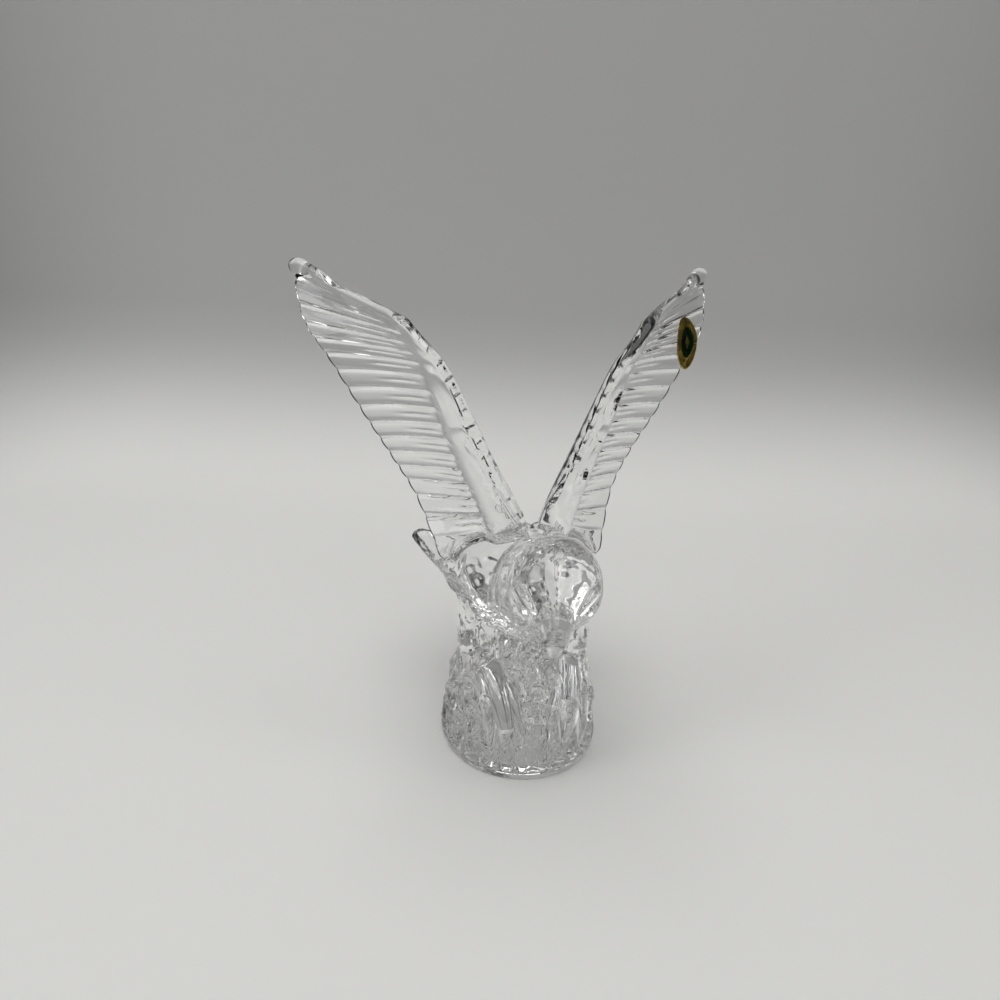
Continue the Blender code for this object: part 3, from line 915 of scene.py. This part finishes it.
def handlingFilmGroup():
    # faint wipe marks: a value for roughness and a height for the ripple of a hand-polished face
    tree, start = socketTree("handlingFilm", "ShaderNodeTree",
                             {"Mark Scale": 60.0, "Ripple Scale": 160.0, "Mark Low": 0.45, "Mark High": 0.75,
                              "Least Roughness": 0.0, "Most Roughness": 0.05},
                             {"Roughness": "NodeSocketFloat", "Height": "NodeSocketFloat"})
    place = newNode(tree, "ShaderNodeTexCoord").outputs["Object"]
    marks = outputOf(tree, "ShaderNodeTexNoise", {"Vector": place, "Scale": start["Mark Scale"], "Detail": 4.0})
    ripple = outputOf(tree, "ShaderNodeTexNoise", {"Vector": place, "Scale": start["Ripple Scale"], "Detail": 2.0})
    limits = [start[name] for name in ("Mark Low", "Mark High", "Least Roughness", "Most Roughness")]
    spread = ranged(tree, marks, *limits)
    newNode(tree, "NodeGroupOutput", {"Roughness": spread, "Height": ripple})
    return tree


def stippleGroup():
    # height of small round dimples on what faces down between two heights
    tree, start = socketTree("stipple", "ShaderNodeTree",
                             {"Dimple Scale": 420.0, "Lowest": 0.05, "Highest": 0.1, "Fade": 0.006,
                              "Least Facing": 0.05, "Most Facing": 0.5}, {"Height": "NodeSocketFloat"})
    place = newNode(tree, "ShaderNodeTexCoord").outputs
    cells = newNode(tree, "ShaderNodeTexVoronoi",
                    {"Vector": place["Object"], "Scale": start["Dimple Scale"]}).outputs["Distance"]
    facing = times(tree, separated(tree, place["Normal"])[2], -1.0)
    down = rise(tree, facing, start["Least Facing"], start["Most Facing"])
    height = separated(tree, place["Object"])[2]
    above, beyond = (rise(tree, height, start[name], mathNode(tree, "ADD", start[name], start["Fade"]))
                     for name in ("Lowest", "Highest"))
    mask = times(tree, down, times(tree, above, mathNode(tree, "SUBTRACT", 1.0, beyond)))
    newNode(tree, "NodeGroupOutput", {"Height": times(tree, cells, mask)})
    return tree


def finishMaterial(name, plain):
    # a material with its plain values set, and its tree and shader
    material = bpy.data.materials.new(name)
    material.use_nodes = True
    shader = material.node_tree.nodes["Principled BSDF"]
    for label, value in plain.items():
        shader.inputs[label].default_value = value
    return material, material.node_tree, shader


def groupNode(tree, group, values):
    return newNode(tree, "ShaderNodeGroup", values, node_tree=group).outputs


def bump(tree, values):
    return outputOf(tree, "ShaderNodeBump", {"Strength": 1.0, **values})


crystalFinish = {
    "colour": (0.994, 0.998, 0.995, 1),
    "ior": 1.545,
    "leastRoughness": 0.0,
    "mostRoughness": 0.03,
    "rippleHeight": 0.00002,
    "dimpleHeight": 0.00045,
    "dimplesFrom": 0.048,  # metres above the ground
    "dimplesTo": 0.105,
    "sharpAngle": 42,  # degrees between two faces from which their edge stays sharp
}


def crystalMaterial(film):
    s = crystalFinish
    plain = {"Base Color": s["colour"], "Metallic": 0, "IOR": s["ior"], "Transmission Weight": 1}
    material, tree, shader = finishMaterial("clearCrystal", plain)
    marks = groupNode(tree, film, {"Least Roughness": s["leastRoughness"], "Most Roughness": s["mostRoughness"]})
    stipple = groupNode(tree, stippleGroup(), {"Lowest": s["dimplesFrom"], "Highest": s["dimplesTo"]})
    dimples = bump(tree, {"Distance": s["dimpleHeight"], "Height": stipple["Height"]})
    rippled = bump(tree, {"Distance": s["rippleHeight"], "Height": marks["Height"], "Normal": dimples})
    tree.links.new(marks["Roughness"], shader.inputs["Roughness"])
    tree.links.new(rippled, shader.inputs["Normal"])
    return material


film = handlingFilmGroup()
crystal = crystalMaterial(film)
eagle = makeEagle(crystal)
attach(eagle, "root")
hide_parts("crystal_eagle")
print("eagle placed")


# Foil seal: a thin oval plate that follows the wing, with raised strokes and a plain lozenge

sealSizes = {
    "length": 20.0,
    "width": 15.0,
    "thickness": 0.4,
    "gap": 0.3,
    "feather": 0.765,  # share of the way from the innermost feather to the outermost
    "chord": 0.87,  # share of the way from the leading edge to the feather tips
    "wing": 1,
    "face": -1,
    "sides": 72,
    "rings": 28,
    "leastRing": 0.02,  # radius share of the innermost ring
    "rimMiddle": 0.95,  # radius shares of the raised edge's middle and half width
    "rimWidth": 0.03,
    "rimStart": 0.62,  # the green field ends here
    "fieldWidth": 0.025,
    "fieldFade": 0.02,
    "ridge": 0.12,  # height of the raised edge and strokes
    "sunk": 0.05,  # how deep strokes and lozenge start in the plate
    "lozenge": (0.4, 0.26, 0.16),  # half length and half width in half sizes of the seal, and height
    "sharpAngle": 50,
}
strokeSizes = {"Strokes": 44, "Radius": 0.79, "Stroke Length": 0.15, "Stroke Width": 0.035, "Stroke Height": 0.12}


def sealPlace(lengthShare, widthShare, lift):
    s = sealSizes
    blade = Blade(wingSizes, s["wing"])
    step = railStep
    u, v = np.array([s["feather"]]), np.array([s["chord"]])
    middle = blade.place(u, v, s["face"], carved=False)[0]
    spanwise = blade.place(u + step, v, s["face"], carved=False)[0] - middle
    chordwise = blade.place(u, v + step, s["face"], carved=False)[0] - middle
    alongFeather = direction(chordwise)
    slip = np.dot(spanwise, alongFeather)
    square = np.linalg.norm(spanwise - alongFeather * slip)
    stepsOut = lengthShare * s["length"] / 2 / square
    stepsBack = (widthShare * s["width"] / 2 - stepsOut * slip) / np.linalg.norm(chordwise)
    u, v = u + stepsOut * step, v + stepsBack * step
    return blade.place(u, v, s["face"], carved=False) + s["face"] * blade.normal(u, v) * lift[..., None]


def sealLift(radius):
    # gap, plate, and a low raised edge at the rim and round the green field
    s = sealSizes
    edge = np.exp(-((radius - s["rimMiddle"]) / s["rimWidth"]) ** 2)
    edge += np.exp(-((radius - s["rimStart"]) / s["fieldWidth"]) ** 2)
    return s["gap"] + s["thickness"] - s["ridge"] + s["ridge"] * np.minimum(edge, 1)


def strokeTree():
    # short strokes set round an oval, as Geometry Nodes instances
    tree, start = geometryTree("sealStrokes", strokeSizes)
    ring = outputOf(tree, "GeometryNodeMeshCircle", {"Vertices": start["Strokes"], "Radius": start["Radius"]})
    size = combined(tree, start["Stroke Length"], start["Stroke Width"], start["Stroke Height"])
    bar = outputOf(tree, "GeometryNodeMeshCube", {"Size": size})
    position = outputOf(tree, "GeometryNodeInputPosition")
    outward = outputOf(tree, "FunctionNodeAlignRotationToVector", {"Vector": position}, axis="X")
    placed = outputOf(tree, "GeometryNodeInstanceOnPoints",
                      {"Points": ring, "Instance": bar, "Rotation": outward})
    endTree(tree, placed, start["Material"])
    return tree


foilFinish = {
    "gold": (0.50, 0.38, 0.09, 1),
    "green": (0.012, 0.075, 0.022, 1),
    "leastRoughness": 0.22,
    "mostRoughness": 0.42,
    "grainHeight": 0.00004,
    "markScale": 420.0,
    "grainScale": 1500.0,
}


def foilMaterial(film):
    s = foilFinish
    material, tree, shader = finishMaterial("goldFoil", {"Metallic": 1})
    # u is the radius share and v tells raised gold from the ground
    u, v, _ = separated(tree, outputOf(tree, "ShaderNodeUVMap", uv_map="seal"))
    inside = ranged(tree, u, sealSizes["rimStart"] - sealSizes["fieldFade"], sealSizes["rimStart"], 1.0, 0.0)
    green = times(tree, inside, mathNode(tree, "SUBTRACT", 1.0, v))
    tree.links.new(blendedColour(tree, green, s["gold"], s["green"]), shader.inputs["Base Color"])
    marks = groupNode(tree, film, {"Mark Scale": s["markScale"], "Ripple Scale": s["grainScale"],
                                   "Least Roughness": s["leastRoughness"], "Most Roughness": s["mostRoughness"]})
    tree.links.new(marks["Roughness"], shader.inputs["Roughness"])
    tree.links.new(bump(tree, {"Distance": s["grainHeight"], "Height": marks["Height"]}), shader.inputs["Normal"])
    return material


def markFoil(mesh, radii, raised):
    # UV map: u is each point's radius share, v is 1 on raised gold
    layer = mesh.uv_layers.new(name="seal")
    for loop in mesh.loops:
        layer.data[loop.index].uv = (radii[loop.vertex_index], raised)


def makeSeal(foil):
    s = sealSizes
    turn = np.arange(s["sides"]) / s["sides"] * math.tau
    above = np.linspace(1, s["leastRing"], s["rings"])
    under = above[::-3]

    def oval(radius, lift):
        return sealPlace(radius * np.cos(turn), radius * np.sin(turn), np.full(s["sides"], lift))

    plate = ringObject("seal_plate", [oval(r, s["gap"]) for r in under] + [oval(r, sealLift(r)) for r in above])
    markFoil(plate.data, np.repeat(np.concatenate([under, above]), s["sides"]), 0.0)
    plate.data.materials.append(foil)
    strokes = addObject("seal_strokes", bpy.data.meshes.new("seal_strokes"))
    throughTree(strokes, strokeTree(), {"Material": foil})
    halfLength, halfWidth, height = s["lozenge"]
    bm = bmesh.new()
    base = [bm.verts.new((x, y, -s["sunk"])) for x, y in
            ((halfLength, 0), (0, halfWidth), (-halfLength, 0), (0, -halfWidth))]
    peak = bm.verts.new((0, 0, height))
    bm.faces.new(base[::-1])
    for a, b in zip(base, base[1:] + base[:1]):
        bm.faces.new((a, b, peak))
    bmesh.ops.subdivide_edges(bm, edges=bm.edges, cuts=3, use_grid_fill=True)
    lozenge = addObject("seal_lozenge", bpy.data.meshes.new("seal_lozenge"))
    bm.to_mesh(lozenge.data)
    bm.free()
    lozenge.data.materials.append(foil)
    raisedFrom = s["gap"] + s["thickness"] - s["ridge"]
    for piece in (strokes, lozenge):
        flat = readPoints(piece.data)
        lifted = sealPlace(flat[:, 0], flat[:, 1], raisedFrom + np.maximum(flat[:, 2], -s["sunk"]))
        writePoints(piece.data, lifted * unit)
        markFoil(piece.data, np.ones(len(flat)), 1.0)
        turnOutward(piece.data)
    plate.data.shade_smooth()
    plate.data.set_sharp_from_angle(angle=math.radians(s["sharpAngle"]))
    return plate, strokes, lozenge


foil = foilMaterial(film)
sealPieces = makeSeal(foil)
for piece in sealPieces:
    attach(piece, "root")
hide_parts("foil_seal")
print("seal placed")


# Stage: a pale floor that sweeps up into a backdrop, soft lights and the camera

viewSizes = {
    "turn": math.radians(11.2),  # the camera stands this far round to the eagle's right
    "pitch": math.radians(22.0),
    "roll": math.radians(2.4),
    "sideways": -11.9,
    "back": 276.5,
    "height": 220.0,
    "focal": 0.751,  # of the picture's width
}
stageSizes = {
    "drop": 0.0004,  # hair of air under the foot
    "sweepStart": 0.24,
    "sweepRadius": 0.13,
    "sweepSteps": 25,
    "wallTop": 1.6,
    "halfWidth": 1.8,
    "front": 2.2,
    "floorColour": (0.80, 0.80, 0.785, 1),
    # painted shade: the backdrop is the same paper as the floor, painted darker for the light that reaches it less
    "paintedWallShade": (0.52, 0.52, 0.52, 1),
    # painted shade for light falling off far from the eagle
    "paintedFarShade": (0.10, 0.10, 0.10, 1),
    "shadeFrom": 0.0,  # height over which the floor's colour turns into the painted shade of the backdrop, darker where less light falls
    "shadeTo": 0.11,
    "farFrom": 0.44,  # distance from the eagle over which painted shade darkens the paper, standing in for the light falling off
    "farTo": 0.85,
}
rightWay = np.array((math.cos(viewSizes["turn"]), -math.sin(viewSizes["turn"]), 0))
awayWay = np.array((math.sin(viewSizes["turn"]), math.cos(viewSizes["turn"]), 0))


def stageMaterial():
    s = stageSizes
    material, tree, shader = finishMaterial("paperSweep", {"Roughness": 0.75, "Specular IOR Level": 0.25})
    place = newNode(tree, "ShaderNodeTexCoord").outputs["Object"]
    # painted shade: the sweep darkens with height into the backdrop's painted shade
    shade = rise(tree, separated(tree, place)[2], s["shadeFrom"], s["shadeTo"])
    near = blendedColour(tree, shade, s["floorColour"], s["paintedWallShade"])
    distance = vectorNode(tree, "LENGTH", vectorNode(tree, "MULTIPLY", place, (1, 1, 0)))
    # painted shade: the paper is painted dark far from the eagle, for light that falls off with distance
    far = rise(tree, distance, s["farFrom"], s["farTo"])
    tree.links.new(blendedColour(tree, far, near, s["paintedFarShade"]), shader.inputs["Base Color"])
    return material


def makeStage():
    s = stageSizes
    start, radius = s["sweepStart"], s["sweepRadius"]
    bend = np.linspace(0, math.pi / 2, s["sweepSteps"])
    profile = [(-s["front"], 0.0)]
    profile += [(start + radius * math.sin(a), radius * (1 - math.cos(a))) for a in bend]
    profile.append((start + radius, s["wallTop"]))
    points = [rightWay * side * s["halfWidth"] + awayWay * away + np.array((0, 0, height - s["drop"]))
              for away, height in profile for side in (-1, 1)]
    faces = [[i, i + 1, i + 3, i + 2] for i in range(0, len(points) - 2, 2)]
    mesh = bpy.data.meshes.new("stage_sweep")
    mesh.from_pydata([tuple(p) for p in points], [], faces)
    mesh.shade_smooth()
    mesh.materials.append(stageMaterial())
    sweep = addObject("stage_sweep", mesh)


lightSizes = {
    # name: right, away, height, aim height, width, depth, watts, shade
    "overhead": (-0.1, -0.2, 1.5, 0.0, 1.9, 1.6, 17.5, (1.0, 0.99, 0.98)),
    "windowLeft": (-1.4, -0.7, 0.8, 0.05, 0.5, 0.9, 2.6, (0.97, 0.98, 1.0)),
}
roomShades = {"low": (0.03, 0.03, 0.03, 1), "high": (0.36, 0.36, 0.355, 1), "lowRise": 0.0, "highRise": 0.8}


def makeLights():
    for name, (right, away, height, aimHeight, width, depth, watts, shade) in lightSizes.items():
        data = bpy.data.lights.new(name, "AREA")
        data.shape = "RECTANGLE"
        data.size, data.size_y = width, depth
        data.energy = watts
        data.color = shade
        light = addObject(name, data)
        place = Vector(rightWay * right + awayWay * away + np.array((0, 0, height)))
        light.location = place
        light.rotation_mode = "QUATERNION"
        light.rotation_quaternion = (Vector((0, 0, aimHeight)) - place).to_track_quat("-Z", "Y")
    world = bpy.data.worlds.new("softRoom")
    world.use_nodes = True
    tree = world.node_tree
    way = newNode(tree, "ShaderNodeTexCoord").outputs["Generated"]
    share = ranged(tree, separated(tree, way)[2], roomShades["lowRise"], roomShades["highRise"])
    colour = blendedColour(tree, share, roomShades["low"], roomShades["high"])
    tree.links.new(colour, tree.nodes["Background"].inputs["Color"])
    bpy.context.scene.world = world


def makeCamera():
    s = viewSizes
    pitch, roll = s["pitch"], s["roll"]
    upWay = np.array((0, 0, 1))
    place = (rightWay * s["sideways"] - awayWay * s["back"] + upWay * s["height"]) * 0.001  # millimetres
    forward = awayWay * math.cos(pitch) - upWay * math.sin(pitch)
    upward = awayWay * math.sin(pitch) + upWay * math.cos(pitch)
    rightTurned = rightWay * math.cos(roll) + upward * math.sin(roll)
    upTurned = upward * math.cos(roll) - rightWay * math.sin(roll)
    data = bpy.data.cameras.new("photoView")
    data.sensor_width = 36
    data.lens = data.sensor_width * s["focal"]
    data.clip_start = 0.01
    camera = addObject("photoView", data)
    turned = Matrix([Vector(w) for w in (rightTurned, upTurned, -forward)]).transposed().to_4x4()
    turned.translation = Vector(place)
    camera.matrix_world = turned
    bpy.context.scene.camera = camera


makeStage()
makeLights()
makeCamera()
bpy.context.scene.view_settings.view_transform = "Standard"
print("stage, lights and camera set")
